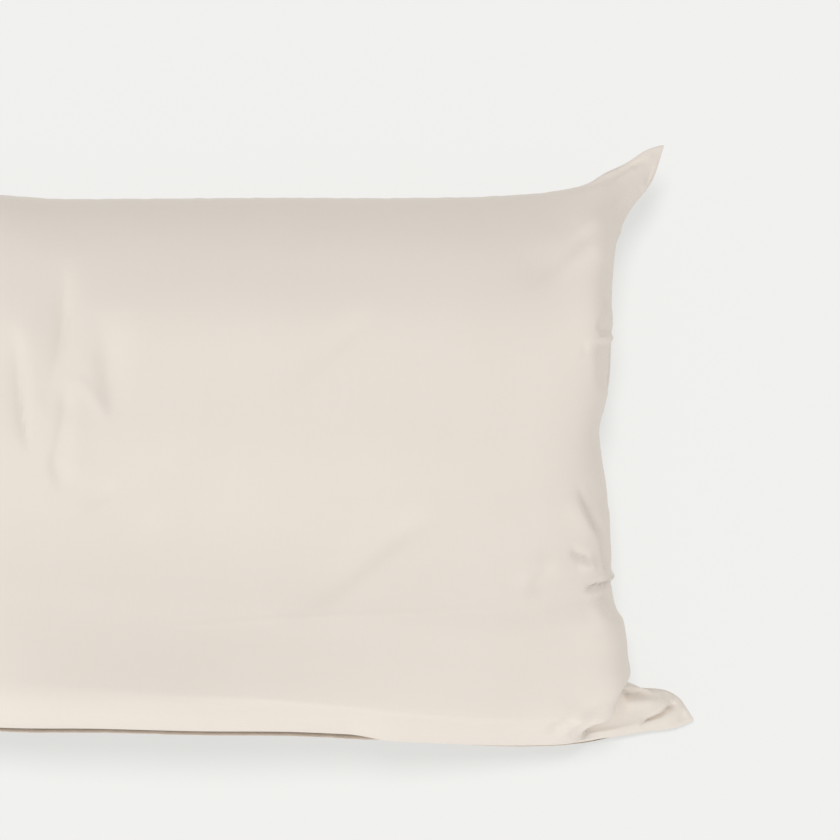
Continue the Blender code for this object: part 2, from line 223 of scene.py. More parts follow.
BANDS = (
    Band(0.108, 0.012, 0.022, 4.0, 46.0),
    Band(0.149, 0.026, -0.0260, 6.0, 34.0),
    Band(0.149, 0.026, -0.0185, 20.0, 49.0),
    Band(0.153, 0.012, -0.0105, 20.0, 49.0),
    Band(0.150, 0.030, -0.0265, 35.0, 75.0),
)


class LipPoint(NamedTuple):
    """A point of the cloth's section beside the lower seam, in millimetres.

    Run is how far along the cloth it lies from the seam, inset how far inside the case's
    outline, and height how far above the seam's own line.
    """

    run: float
    inset: float
    height: float


FRONT_LIP = table(
    LipPoint,
    (0.0, 8.4, -33.4), (4.0, 8.8, -28.0), (8.0, 9.2, -19.0), (12.0, 9.0, -8.0), (16.0, 8.3, 3.0),
    (22.0, 7.7, 19.0), (30.0, 7.3, 41.0), (40.0, 7.4, 62.0), (60.0, 7.7, 84.0), (90.0, 4.5, 96.0),
    (130.0, 0.0, 98.0),
)
BACK_LIP = table(
    LipPoint,
    (0.0, 8.0, -34.0), (2.0, 6.4, -33.4), (4.0, 5.0, -30.0), (6.5, 3.7, -25.0), (9.0, 2.9, -20.0),
    (11.5, 2.3, -15.5), (13.5, 1.8, -11.0), (15.0, 1.3, -7.6), (16.5, 0.7, -5.2), (18.0, 0.0, -5.2),
    (20.0, -0.2, -9.2), (24.0, 0.0, -18.0), (30.0, 0.0, -31.0), (40.0, 0.0, -54.0), (130.0, 0.0, -56.0),
)


class Swell(NamedTuple):
    """A broad rise or hollow of the filling under the front."""

    x: float
    y: float
    across_x: float
    across_y: float
    height: float

    def relief(self, plan: np.ndarray) -> np.ndarray:
        """Its height at some points, of which x and y are read."""
        across = bell(plan[..., 0] - self.x, self.across_x)
        return self.height * across * bell(plan[..., 1] - self.y, self.across_y)


SWELLS = (
    Swell(0.000, 0.105, 0.320, 0.042, 0.008),
    Swell(-0.050, -0.075, 0.260, 0.075, -0.017),
    Swell(-0.050, -0.232, 0.260, 0.056, 0.020),
    Swell(-0.090, -0.150, 0.150, 0.050, -0.006),
    Swell(-0.090, -0.244, 0.150, 0.050, 0.006),
    Swell(0.284, 0.118, 0.024, 0.046, 0.012),
    Swell(0.286, 0.168, 0.020, 0.026, 0.012),
)


# How many points a fold's way is read at, how many of its widths it reaches, how much of a
# flank's width a full lean takes, and how fast and how round a pinched line falls off.
WAY_POINTS = 25
FOLD_REACH = 4
LEAN_SHARE = 0.7
PINCH_FALL = 1.5
PINCH_ROUND = 0.2


class Profile(Enum):
    """What a fold looks like when it is cut across."""

    SOFT = "a rounded trough or ridge"
    SHARP = "a pinched line with hollow flanks"

    def share(self, aside: np.ndarray) -> np.ndarray:
        """How much of a fold's height stands beside its middle.

        Args:
            aside: distances from the middle, in widths of the fold.

        Returns:
            Shares of its height, 1 in the middle.
        """
        if self is Profile.SHARP:
            return np.exp(-PINCH_FALL * (np.sqrt(aside**2 + PINCH_ROUND**2) - PINCH_ROUND))
        return np.exp(-(aside**2))


class Fold(NamedTuple):
    """A fold laid into the cloth, in millimetres, in the frame of the seams.

    It runs along its way, as wide as start at one end and as end at the other. A height above
    0 is a ridge and below 0 a trough. A lean from -1 to 1 makes the flank on the left of the
    way steeper when it is above 0. The fades are the shares of its length over which its two
    ends die away.
    """

    way: tuple[tuple[float, float], ...]
    start: float
    end: float
    height: float
    lean: float = 0.0
    fade_in: float = 0.28
    fade_out: float = 0.28
    profile: Profile = Profile.SOFT

    def relief(self, plan: np.ndarray) -> np.ndarray:
        """Works out how high the fold stands at some points.

        Args:
            plan: the points, of which x and y are read.

        Returns:
            The height in metres, in the points' shape.
        """
        way = curve_through(np.array(self.way) * MM, np.linspace(0.0, 1.0, WAY_POINTS))
        reach = max(self.start, self.end) * MM * FOLD_REACH
        low, high = way.min(axis=0) - reach, way.max(axis=0) + reach
        near = np.all((plan[..., :2] > low) & (plan[..., :2] < high), axis=-1)
        spots = plan[near][:, :2]
        run = np.diff(way, axis=0)
        length = np.linalg.norm(run, axis=1)
        offset = spots[:, None, :] - way[None, :-1, :]
        share = np.clip(np.einsum("ijk,jk->ij", offset, run) / length**2, 0.0, 1.0)
        distance = np.linalg.norm(offset - share[..., None] * run, axis=-1)
        nearest = distance.argmin(axis=1)
        pick = np.arange(len(spots)), nearest
        along = (nearest + share[pick]) / len(run)
        side = np.sign(run[nearest, 0] * offset[pick][:, 1] - run[nearest, 1] * offset[pick][:, 0])
        width = (self.start + (self.end - self.start) * along) * MM
        aside = distance[pick] / (width * (1.0 - LEAN_SHARE * self.lean * side))
        ends = smooth_step(along / self.fade_in) * smooth_step((1.0 - along) / self.fade_out)
        relief = np.zeros(plan.shape[:-1])
        relief[near] = self.height * MM * self.profile.share(aside) * ends
        return relief


# Each row is a way, its start, end and height, and then its lean, two fades and profile.
FRONT_FOLDS = (
    # Upright folds left of the middle, in the shape of two narrow letters V.
    Fold(((-147, 158), (-145, 126), (-145, 101), (-147, 86), (-150, 71), (-153, 59), (-156, 49)),
         24, 2.4, -7.2, 0.35, 0.5, 0.45, Profile.SHARP),
    Fold(((-186, 102), (-182, 77), (-180, 49), (-178, 28), (-175, 8), (-170, -9)),
         10, 3.2, -4.6, 0.35, 0.4, 0.3, Profile.SHARP),
    Fold(((-173, 112), (-172, 84), (-169, 56), (-165, 32), (-160, 8)), 9, 9, 1.4, 0.2),
    Fold(((-142, 55), (-143, 39), (-144, 23), (-147, 5), (-151, -12), (-148, -26), (-143, -39)),
         6, 6, -3.0, -0.2),
    Fold(((-109, 116), (-109, 92), (-109, 69), (-108, 49), (-106, 33), (-103, 15)),
         20, 5, -5.0, -0.2, 0.5, 0.42),
    Fold(((-144, 56), (-129, 50), (-117, 36), (-109, 22)), 5, 4, 0.7, 0.4, 0.4, 0.2),
    Fold(((-137, 34), (-134, 0), (-136, -34)), 12, 12, 1.2, 0.2),
    Fold(((-100, -28), (-111, -37), (-122, -45), (-133, -53)), 6, 7, -1.6, 0.3, 0.4, 0.5),
    # The long soft pulls that slant across the face.
    Fold(((108, 113), (80, 89), (52, 63), (26, 35)), 9, 11, -2.8, 0.3, 0.4, 0.5),
    Fold(((-16, 6), (-36, -18), (-60, -44), (-92, -82)), 11, 13, 2.0, 0.2, 0.5, 0.4),
    Fold(((153, -48), (124, -67), (91, -93), (58, -119), (24, -142)), 9, 13, -3.0, 0.3, 0.3, 0.4),
    Fold(((162, -58), (132, -80), (99, -109), (66, -138)), 9, 11, 1.4, 0.0, 0.4, 0.5),
    Fold(((284, 179), (264, 163), (243, 145), (214, 122)), 8, 14, -3.0, 0.3, 0.25, 0.5),
    Fold(((292, 163), (270, 153), (246, 134)), 9, 14, 1.8, 0.0, 0.3, 0.5),
    # Ironed lines across the cloth.
    Fold(((-76, -143), (45, -135), (150, -130), (252, -124)),
         1.5, 1.5, 0.36, 0.5, 0.15, 0.3, Profile.SHARP),
    Fold(((-112, 56), (-60, 61), (-2, 67)), 1.3, 1.3, 0.15, 0.4, 0.2, 0.4, Profile.SHARP),
    # The closed end, from the top down: the steep edge, a creased hollow and two short folds.
    Fold(((290, 156), (289, 130), (287, 108)), 5, 5, -2.8, -0.3, 0.4, 0.2),
    Fold(((291, 119), (286, 107), (280, 92)), 3.0, 3.4, -2.2, -0.4, 0.25, 0.15),
    Fold(((279, 92), (286, 90.6), (297, 90)), 2.4, 2.2, -1.9, -0.4, 0.2, 0.05),
    Fold(((298, 87), (288, 88), (278, 86), (270, 80), (262, 76)), 2.6, 4.0, 1.3, 0.3, 0.2, 0.5),
    Fold(((272, 76), (266, 79)), 3.0, 4.0, -1.0, 0.0, 0.4, 0.4),
    Fold(((285, 85), (287, 66), (287, 42)), 8, 7, -4.0, -0.3, 0.15, 0.3),
    Fold(((283, 30), (283, 12), (282, -6)), 6, 6, -1.8, -0.2, 0.3, 0.4),
    # The long crease, the short one under it, and the pocket that ends in a pinched tuck.
    Fold(((263, -27), (272, -49), (278, -61), (283, -69), (285, -76), (286, -85), (288, -95),
          (293, -104)), 4.6, 3.0, -5.0, -0.5, 0.3, 0.10),
    Fold(((272, -20), (280, -42), (286, -62)), 8, 7, -2.4, -0.3, 0.4, 0.4),
    Fold(((256, -34), (264, -50), (272, -64), (277, -76)), 7, 7, 1.6, 0.3, 0.4, 0.4),
    Fold(((257, -80), (266, -86), (275, -89)), 3.2, 3.0, -3.0, 0.4, 0.35, 0.25),
    Fold(((264, -93), (272, -95), (281, -94)), 4.0, 4.0, 2.6, -0.2, 0.4, 0.3),
    Fold(((268, -114), (279, -111), (288, -109.4), (296, -108)), 2.8, 2.0, -4.6, 0.5, 0.3, 0.2),
    Fold(((268, -119), (279, -115), (292, -113)), 3.4, 3.0, 1.6, 0.0, 0.3, 0.5),
    Fold(((280, -106), (290, -105.2), (299, -104.4)), 3.4, 2.4, 1.8, 0.0, 0.4, 0.04),
    Fold(((283, -117), (291, -127), (300, -142)), 4.0, 5, -3.4, -0.3, 0.2, 0.35),
    Fold(((274, -122), (282, -134), (290, -146)), 6, 7, 1.6, 0.0, 0.3, 0.4),
    Fold(((222, -120), (234, -106), (248, -90)), 7, 7, -2.0, 0.2, 0.4, 0.4),
    Fold(((214, -112), (227, -97), (241, -83)), 7, 7, 1.4, 0.0, 0.4, 0.4),
    # Slanting folds where the front bulges over the low ear, and the line where it ends.
    Fold(((243, -236), (257, -224), (274, -211), (290, -200)), 4.0, 5.0, -3.0, -0.3, 0.12, 0.6),
    Fold(((252, -237), (266, -225), (280, -213), (293, -202)), 4.0, 4.6, 2.4, 0.0, 0.15, 0.6),
    Fold(((258, -237), (270, -227), (281, -218), (288, -211)), 3.0, 3.4, -2.4, -0.3, 0.15, 0.5),
    # The low ear's own slit, the flap over it, its folded upper edge and the ripples at its tip.
    Fold(((350, -212), (344, -215), (337, -221), (332, -223.5), (325, -227.5), (318, -231)),
         2.0, 2.4, -6.2, 0.4, 0.15, 0.3, Profile.SHARP),
    Fold(((350, -205), (341, -212), (334, -218), (322, -223)), 3.2, 4.0, 1.7, 0.0, 0.2, 0.3),
    Fold(((305, -211), (317, -210), (330, -210), (343, -211)), 6.0, 4.0, 3.4, 0.3, 0.15, 0.5),
    Fold(((304, -204), (314, -204.5), (328, -205)), 4.0, 3.0, -4.0, -0.3, 0.2, 0.5),
    Fold(((361, -214), (356, -221), (350, -228)), 2.4, 3.0, -0.8, 0.0, 0.3, 0.3),
    # The high ear: its edge turned up, and the pleats that it sends into the front.
    Fold(((252, 206), (272, 209), (292, 217), (312, 228), (326, 234)), 2.4, 2.6, -1.4, 0.4, 0.3, 0.15),
    Fold(((286, 208), (296, 216), (304, 224)), 2.6, 2.6, -0.8, 0.0, 0.3, 0.3),
    Fold(((298, 212), (306, 220), (312, 226)), 2.6, 2.6, 0.7, 0.0, 0.3, 0.3),
    Fold(((330, 226), (322, 210), (313, 196)), 4.0, 5.0, -1.5, 0.3, 0.2, 0.4),
    Fold(((322, 224), (290, 196), (225, 140)), 14, 40, 1.5),
    # The two corners at the open end.
    Fold(((-336, 220), (-235, 140)), 18, 40, 1.6),
    Fold(((-330, 212), (-290, 190), (-246, 176)), 6, 12, -2.4, fade_out=0.5),
    Fold(((-326, 200), (-296, 160), (-270, 130)), 6, 12, -2.2, fade_out=0.5),
    Fold(((-304, 150), (-284, 120), (-262, 84)), 5, 12, -2.0, 0.3, 0.15, 0.5),
    Fold(((-342, -214), (-240, -145)), 18, 40, 1.6),
    Fold(((-334, -214), (-296, -196), (-250, -184)), 6, 12, -2.4, fade_out=0.5),
    Fold(((-332, -202), (-302, -164), (-276, -130)), 6, 12, -2.2, fade_out=0.5),
    Fold(((-300, -96), (-276, -70), (-250, -56)), 5, 12, -1.8, -0.3, 0.15, 0.5),
    Fold(((-296, 20), (-268, 26), (-236, 20)), 5, 12, -1.6, 0.0, 0.15, 0.5),
)
BACK_FOLDS = (
    Fold(((-334, 212), (-296, 176), (-258, 150)), 6, 12, -3.0, fade_out=0.5),
    Fold(((-340, -212), (-300, -180), (-262, -160)), 6, 12, -3.0, fade_out=0.5),
    Fold(((324, 220), (296, 186), (262, 158)), 6, 12, -3.0, fade_out=0.5),
    Fold(((318, 200), (292, 150), (270, 110)), 5, 10, -2.4, fade_out=0.5),
    Fold(((-120, 200), (-112, 184), (-118, 166)), 5, 9, -2.0, 0.0, 0.15, 0.5),
    Fold(((40, 201), (52, 186), (48, 168)), 5, 9, -1.8, 0.0, 0.15, 0.5),
    Fold(((180, 203), (176, 184), (184, 164)), 5, 9, -2.2, 0.0, 0.15, 0.5),
    Fold(((-160, -232), (-168, -214), (-158, -196)), 5, 9, -2.0, 0.0, 0.15, 0.5),
    Fold(((70, -238), (62, -218), (72, -200)), 5, 9, -1.8, 0.0, 0.15, 0.5),
    Fold(((292, 40), (274, 34), (256, 42)), 5, 9, -2.0, 0.0, 0.15, 0.5),
    Fold(((294, -90), (276, -96), (258, -88)), 5, 9, -2.0, 0.0, 0.15, 0.5),
)


class PuckerWave(NamedTuple):
    """One of the waves that make up the puckers of a seam."""

    length: float
    phase: float


PUCKER_WAVES = (PuckerWave(0.013, 0.3), PuckerWave(0.019, 1.7), PuckerWave(0.031, 4.1))


class Crowding(NamedTuple):
    """A place where the cloth's grid lines stand closer together."""

    at: float
    width: float
    strength: float


class Layout(NamedTuple):
    """What both panels are laid out on, all on one grid.

    U and v are places on the cloth, seams the surface through the seams, full the share of the
    crown that stands there, and edge how far it is from the cloth's edge.
    """

    u: np.ndarray
    v: np.ndarray
    seams: np.ndarray
    full: np.ndarray
    edge: np.ndarray


class Panels(NamedTuple):
    """Both panels' grids, their places on the cloth, and how far the mouth opens, from 0 to 1."""

    front: np.ndarray
    back: np.ndarray
    cloth: np.ndarray
    mouth: np.ndarray


# ---------------------------------------------------------------- shader expressions

class Shader:
    """One material's nodes, and the one way to add a node to it."""

    COLOUR_A, COLOUR_B, COLOUR_RESULT = 6, 7, 2
    NOISE_DETAIL = 3.0

    def __init__(self, name: str) -> None:
        """Starts a material with a Principled BSDF.

        Args:
            name: the material's name.
        """
        self.material = bpy.data.materials.new(name)
        self.material.use_nodes = True
        self.tree = self.material.node_tree
        self.principled = self.tree.nodes["Principled BSDF"]

    def add(self, kind: str, settings: dict[str, Any] | None = None, **sockets: Any) -> Any:
        """Adds a node.

        Args:
            kind: the node's type, such as "ShaderNodeTexNoise".
            settings: its properties, which are set before its sockets.
            **sockets: each socket's value, or the Value or socket that feeds it. An
                underscore in a name stands for a space.

        Returns:
            The node.
        """
        node = self.tree.nodes.new(kind)
        for key, value in (settings or {}).items():
            setattr(node, key, value)
        for key, value in sockets.items():
            self.feed(node.inputs[key.replace("_", " ")], value)
        return node

    def feed(self, socket: Any, value: Any) -> None:
        """Sets a socket to a value, or links what feeds it.

        Args:
            socket: the socket.
            value: its value, or the Value or socket that feeds it.
        """
        if isinstance(value, Value):
            value = value.socket
        if isinstance(value, bpy.types.NodeSocket):
            self.tree.links.new(value, socket)
        else:
            socket.default_value = value

    def value(self, node: Any, output: str | int = 0) -> "Value":
        """One of a node's outputs, to work with."""
        return Value(self, node.outputs[output])

    def noise(self, vector: Any, scale: float = 1.0) -> "Value":
        """Smooth noise from 0 to 1, read at a vector.

        Args:
            vector: where it is read, as a Value or socket.
            scale: how many waves there are to a unit.

        Returns:
            The noise.
        """
        node = self.add("ShaderNodeTexNoise", Vector=vector, Scale=scale, Detail=self.NOISE_DETAIL)
        return self.value(node, "Fac")

    def stretched(self, vector: Any, stretch: tuple[float, float, float]) -> "Value":
        """Multiplies a vector, axis by axis.

        Args:
            vector: the vector, as a Value or socket.
            stretch: what each of its coordinates is multiplied by.

        Returns:
            The stretched vector.
        """
        node = self.add("ShaderNodeVectorMath", {"operation": "MULTIPLY"})
        self.feed(node.inputs[0], vector)
        node.inputs[1].default_value = stretch
        return self.value(node)

    def mixed(self, share: Any, first: Any, second: Any) -> Any:
        """Mixes two colours.

        Args:
            share: how much of the second colour there is, from 0 to 1.
            first: the first colour, or the socket that feeds it.
            second: the second colour, or the socket that feeds it.

        Returns:
            The socket of the mixed colour.
        """
        node = self.add("ShaderNodeMix", {"data_type": "RGBA"}, Factor=share)
        self.feed(node.inputs[self.COLOUR_A], first)
        self.feed(node.inputs[self.COLOUR_B], second)
        return node.outputs[self.COLOUR_RESULT]


class Value:
    """A number that varies over a surface. Sums with it add the Math nodes for them."""

    def __init__(self, shader: Shader, socket: Any) -> None:
        """Wraps a socket of a shader's node."""
        self.shader = shader
        self.socket = socket

    def _math(self, operation: str, first: Any, second: Any = None) -> "Value":
        """Adds a Math node.

        Args:
            operation: what the node does.
            first: its first input.
            second: its second input, if it has one.

        Returns:
            The node's result.
        """
        node = self.shader.add("ShaderNodeMath", {"operation": operation})
        self.shader.feed(node.inputs[0], first)
        if second is not None:
            self.shader.feed(node.inputs[1], second)
        return Value(self.shader, node.outputs[0])

    def __add__(self, other: Any) -> "Value":
        """self + other."""
        return self._math("ADD", self, other)

    def __radd__(self, other: Any) -> "Value":
        """other + self."""
        return self._math("ADD", other, self)

    def __sub__(self, other: Any) -> "Value":
        """self - other."""
        return self._math("SUBTRACT", self, other)

    def __rsub__(self, other: Any) -> "Value":
        """other - self."""
        return self._math("SUBTRACT", other, self)

    def __mul__(self, other: Any) -> "Value":
        """self * other."""
        return self._math("MULTIPLY", self, other)

    def __rmul__(self, other: Any) -> "Value":
        """other * self."""
        return self._math("MULTIPLY", other, self)

    def sine(self) -> "Value":
        """The sine of this number."""
        return self._math("SINE", self)

    def parts(self) -> tuple["Value", "Value", "Value"]:
        """A vector's three coordinates."""
        node = self.shader.add("ShaderNodeSeparateXYZ", Vector=self)
        return tuple(Value(self.shader, output) for output in node.outputs)


# ---------------------------------------------------------------- finishes

@dataclass(frozen=True)
class CottonFinish:
    """Plain woven cotton: fine threads, faint slubs and a soft nap."""

    colour: tuple[float, float, float] = (0.814, 0.747, 0.674)
    shade: tuple[float, float, float] = (0.792, 0.723, 0.648)
    roughness: float = 0.86
    specular: float = 0.25
    sheen: float = 0.10
    sheen_roughness: float = 0.5
    thread_pitch: float = 0.42 * MM
    thread_height: float = 0.03 * MM
    slub_height: float = 0.10 * MM
    slubs_along: tuple[float, float, float] = (9.0, 420.0, 1.0)
    slubs_across: tuple[float, float, float] = (380.0, 8.0, 1.0)
    slub_tone: float = 0.45
    slub_roughness: float = 0.08
    cloud_scale: float = 14.0
    cloud_tone: float = 0.9
    relief: float = 0.6

    def make(self) -> bpy.types.Material:
        """Makes the material, which reads the cloth's own places for its threads.

        Returns:
            The material.
        """
        shader = Shader("woven_cotton")
        attribute = shader.add("ShaderNodeAttribute", {"attribute_name": CLOTH_PLACE})
        place = shader.value(attribute, "Vector")
        along, across, _ = place.parts()
        turns = 2 * math.pi / self.thread_pitch
        threads = (along * turns).sine() * (across * turns).sine()
        slubs_along = shader.noise(shader.stretched(place, self.slubs_along))
        slubs_across = shader.noise(shader.stretched(place, self.slubs_across))
        slubs = slubs_along + slubs_across - 1.0
        cloud = shader.noise(place, self.cloud_scale)
        tone = (cloud - 0.5) * self.cloud_tone + slubs * self.slub_tone + 0.5
        principled = shader.principled
        colour = shader.mixed(tone, (*self.shade, 1.0), (*self.colour, 1.0))
        shader.feed(principled.inputs["Base Color"], colour)
        shader.feed(principled.inputs["Roughness"], slubs * self.slub_roughness + self.roughness)
        principled.inputs["Sheen Weight"].default_value = self.sheen
        principled.inputs["Sheen Roughness"].default_value = self.sheen_roughness
        principled.inputs["Specular IOR Level"].default_value = self.specular
        height = threads * self.thread_height + slubs * self.slub_height
        bump = shader.add("ShaderNodeBump", Strength=self.relief, Distance=1.0, Height=height)
        shader.feed(principled.inputs["Normal"], bump.outputs["Normal"])
        return shader.material


@dataclass(frozen=True)
class ThreadFinish:
    """Sewing thread, twisted from two strands, a touch lighter than the cloth, with shade painted into
    the grooves of its twist.
    """

    colour: tuple[float, float, float] = (0.83, 0.78, 0.71)
    # Painted shade: the colour that the grooves of the twist are darkened to.
    groove_shade: tuple[float, float, float] = (0.70, 0.64, 0.57)
    roughness: float = 0.6
    twists_to_a_metre: float = 1400.0

    def make(self) -> bpy.types.Material:
        """Makes the material, with painted shade that darkens the grooves of the twist.

        Returns:
            The material.
        """
        shader = Shader("sewing_thread")
        where = shader.add("ShaderNodeTexCoord")
        x, y, z = shader.value(where, "Object").parts()
        # Painted shade: bands of the darker colour where the grooves of the twist lie.
        twist = ((x + y + z) * (2 * math.pi * self.twists_to_a_metre)).sine() * 0.5 + 0.5
        shader.feed(
            shader.principled.inputs["Base Color"],
            shader.mixed(twist, (*self.groove_shade, 1.0), (*self.colour, 1.0)),
        )
        shader.principled.inputs["Roughness"].default_value = self.roughness
        return shader.material


@dataclass(frozen=True)
class StudioPaper:
    """The pale floor, lit evenly so that only a faint shadow shows on it."""

    colour: tuple[float, float, float] = (0.150, 0.150, 0.147)
    glow: float = 0.615
    glow_colour: tuple[float, float, float] = (1.0, 1.0, 0.982)

    def make(self) -> bpy.types.Material:
        """Makes the material, with part of its light its own.

        Returns:
            The material.
        """
        shader = Shader("studio_paper")
        principled = shader.principled
        principled.inputs["Base Color"].default_value = (*self.colour, 1.0)
        principled.inputs["Roughness"].default_value = 1.0
        principled.inputs["Specular IOR Level"].default_value = 0.0
        principled.inputs["Emission Color"].default_value = (*self.glow_colour, 1.0)
        principled.inputs["Emission Strength"].default_value = self.glow
        shader.material.cycles.emission_sampling = "NONE"
        return shader.material


# ---------------------------------------------------------------- the filled case

class ClothMesh:
    """A mesh in the making, whose points know their places on the flat cloth."""

    def __init__(self) -> None:
        """Starts an empty mesh."""
        self.mesh = bmesh.new()
        self.place = self.mesh.verts.layers.float_vector.new(CLOTH_PLACE)

    def add_points(self, points: np.ndarray, places: np.ndarray) -> list[Any]:
        """Adds points.

        Args:
            points: where they lie in the room.
            places: where they lie on the cloth.

        Returns:
            Their vertices, in order.
        """
        made = []
        for point, place in zip(points.reshape(-1, 3), places.reshape(-1, 3)):
            vertex = self.mesh.verts.new(point)
            vertex[self.place] = place
            made.append(vertex)
        return made

    def add_panel(self, grid: np.ndarray, places: np.ndarray, up: bool) -> np.ndarray:
        """Adds a panel's points and faces.

        Args:
            grid: its points.
            places: their places on the cloth.
            up: whether its faces look up.

        Returns:
            Its vertices, as a grid.
        """
        made = np.array(self.add_points(grid, places), dtype=object).reshape(grid.shape[:2])
        for i in range(grid.shape[0] - 1):
            for j in range(grid.shape[1] - 1):
                cell = [made[i, j], made[i + 1, j], made[i + 1, j + 1], made[i, j + 1]]
                self.mesh.faces.new(cell if up else cell[::-1])
        return made

    def join(self, upper: Any, lower: Any) -> None:
        """Joins two loops that have as many vertices.

        Args:
            upper: the upper loop.
            lower: the loop under it.
        """
        for k in range(len(upper)):
            after = (k + 1) % len(upper)
            self.mesh.faces.new([upper[k], lower[k], lower[after], upper[after]])

    def join_coarser(self, fine: Any, coarse: Any) -> None:
        """Joins a loop to one that has half as many vertices.

        Args:
            fine: the loop with more vertices.
            coarse: the loop with half as many.
        """
        for k in range(len(coarse)):
            after = (k + 1) % len(coarse)
            self.mesh.faces.new([fine[2 * k], coarse[k], coarse[after], fine[2 * k + 1]])
            self.mesh.faces.new([fine[2 * k + 1], coarse[after], fine[(2 * k + 2) % len(fine)]])


@dataclass
class FilledCase:
    """The pillowcase: one bag of cloth, filled, from its seams to its creases."""

    # The cloth and its grid.
    flat_length: float = 0.75
    flat_width: float = 0.50
    half_length: float = 0.31
    half_width: float = 0.22
    cells_along: int = 276
    cells_across: int = 236
    line_fineness: int = 20
    arc_steps: int = 4001
    # The filling.
    front_crown: float = 0.092
    back_crown: float = 0.112
    open_end_fullness: float = 3.0
    closed_end_fullness: float = 4.6
    upper_fullness: float = 2.45
    lower_fullness: tuple[float, float] = (5.0, 2.8)
    lower_turn: tuple[float, float] = (0.05, 0.25)
    floor_softness: float = 0.012
    edge_cling: int = 6
    seam_margin: float = 0.083
    fold_margin: float = 0.02
    # The low ear, its root and the crease between it and the filling.
    crease_centre: tuple[float, float] = (0.402, -0.262)
    crease_start: float = 0.100
    crease_end: float = 0.142
    crease_spread: float = 0.012
    spread_angles: tuple[float, float] = (10.0, 24.0)
    low_ear_fullness: float = 0.035
    root_fullness: float = 0.100
    root_start: float = 0.082
    root_end: float = 0.102
    band_fade: float = 14.0
    # The sewn seams, and the lip below the lower one.
    seam_thickness: float = 0.0018
    groove_depth: float = 0.0026
    groove_height: float = 0.0024
    groove_cling: int = 16
    lip_end: float = 0.080
    lip_fade: float = 0.040
    lip_beyond: float = 0.42
    lip_full_height: float = 0.055
    lip_own: float = 0.014
    lip_blend: float = 0.026
    side_run: float = 0.29
    # The hem, the puckers and the mouth.
    hem_width: float = 0.025
    hem_step: float = 0.0006
    hem_softness: float = 0.0012
    hem_groove: float = 0.0009
    hem_groove_inset: float = 0.003
    hem_groove_width: float = 0.0016
    pucker_height: float = 0.00035
    pucker_reach: float = 0.05
    side_puckers: float = 0.4
    pucker_wander: float = 2.0
    wander_along: float = 23.0
    wander_across: float = 19.0
    mouth_depth: float = 0.013
    mouth_gap: float = 0.0034
    mouth_cling: int = 4
    rim_steps: int = 6
    finish: CottonFinish = field(default_factory=CottonFinish)
    column_crowding: tuple[Crowding, ...] = (
        Crowding(-1.0, 0.025, 1.6),
        Crowding(-0.93, 0.012, 5.0),
        Crowding(-0.38, 0.13, 0.6),
        Crowding(0.82, 0.12, 1.1),
        Crowding(1.0, 0.025, 1.6),
    )
    row_crowding: tuple[Crowding, ...] = (
        Crowding(-1.0, 0.060, 4.2),
        Crowding(-0.34, 0.12, 0.5),
        Crowding(0.97, 0.06, 0.8),
    )

    def _lines(self, cells: int, crowding: tuple[Crowding, ...]) -> np.ndarray:
        """Spaces out the lines of the cloth's grid.

        Args:
            cells: how many cells there are between them.
            crowding: where they stand closer together.

        Returns:
            The lines' places, from -1 to 1.
        """
        fine = np.linspace(-1.0, 1.0, self.line_fineness * cells)
        density = np.ones_like(fine)
        for row in crowding:
            density += row.strength * bell(fine - row.at, row.width)
        along = np.concatenate(([0.0], np.cumsum(0.5 * (density[1:] + density[:-1]))))
        return np.interp(np.linspace(0.0, along[-1], cells + 1), along, fine)

    def _drawn(self, own: np.ndarray, other: np.ndarray, low: float, high: float,
               half: float) -> np.ndarray:
        """Turns a cloth coordinate into its place in plan.

        The cloth runs flat over the top and then down the side, so equal steps along it are
        ever shorter steps in plan. Along a seam of the other direction it stays flat.

        Args:
            own: the cloth coordinate.
            other: the coordinate across it.
            low: the fullness below 0.
            high: the fullness above 0.
            half: half the case's size in this direction.

        Returns:
            The plan coordinate, from -1 to 1.
        """
        turn = np.pi / 4 * (1.0 - np.cos(np.linspace(0.0, np.pi, self.arc_steps)))
        laid = own.copy()
        for fullness, part in ((low, own < 0), (high, own >= 0)):
            reach = np.sin(turn) ** (2.0 / fullness)
            height = np.cos(turn) ** (2.0 / fullness)
            steps = np.hypot(np.diff(reach) * half, np.diff(height) * self.front_crown)
            arc = np.concatenate(([0.0], np.cumsum(steps))) / steps.sum()
            laid[part] = (np.sign(own) * np.interp(np.abs(own), arc, reach))[part]
        free = 1.0 - np.abs(other) ** self.edge_cling
        return own + free * (laid - own)

    def _seam_surface(self, u: np.ndarray, v: np.ndarray) -> np.ndarray:
        """Spans the four seams with a Coons patch.

        Args:
            u: places along the case, from -1 to 1.
            v: places across it, from -1 to 1.

        Returns:
            The surface's points.
        """
        a = ((1.0 + u) / 2)[..., None]
        b = ((1.0 + v) / 2)[..., None]
        left = curve_through(LEFT_SEAM, b[..., 0])
        right = curve_through(RIGHT_SEAM, b[..., 0])
        bottom = curve_through(BOTTOM_SEAM, a[..., 0])
        top = curve_through(TOP_SEAM, a[..., 0])
        corners = (1 - b) * ((1 - a) * bottom[0, 0] + a * bottom[-1, 0]) + b * (
            (1 - a) * top[0, -1] + a * top[-1, -1]
        )
        return (1 - a) * left + a * right + (1 - b) * bottom + b * top - corners

    def _from_crease(self, plan: np.ndarray) -> tuple[np.ndarray, np.ndarray, np.ndarray]:
        """Where each point lies as seen from the centre of the low ear's crease.

        Args:
            plan: the points, of which x and y are read.

        Returns:
            Unit vectors away from the centre, the distances to measure the crease with (they
            grow more slowly towards the lower seam, so that the crease spreads out there), and
            the angles up from the line to the open end.
        """
        away = plan[..., :2] - np.array(self.crease_centre)
        distance = np.linalg.norm(away, axis=-1)
        angle = np.degrees(np.arctan2(away[..., 1], -away[..., 0]))
        low, high = self.spread_angles
        spread = self.crease_spread * smooth_step((high - angle) / (high - low))
        return away / distance[..., None], distance - spread, angle

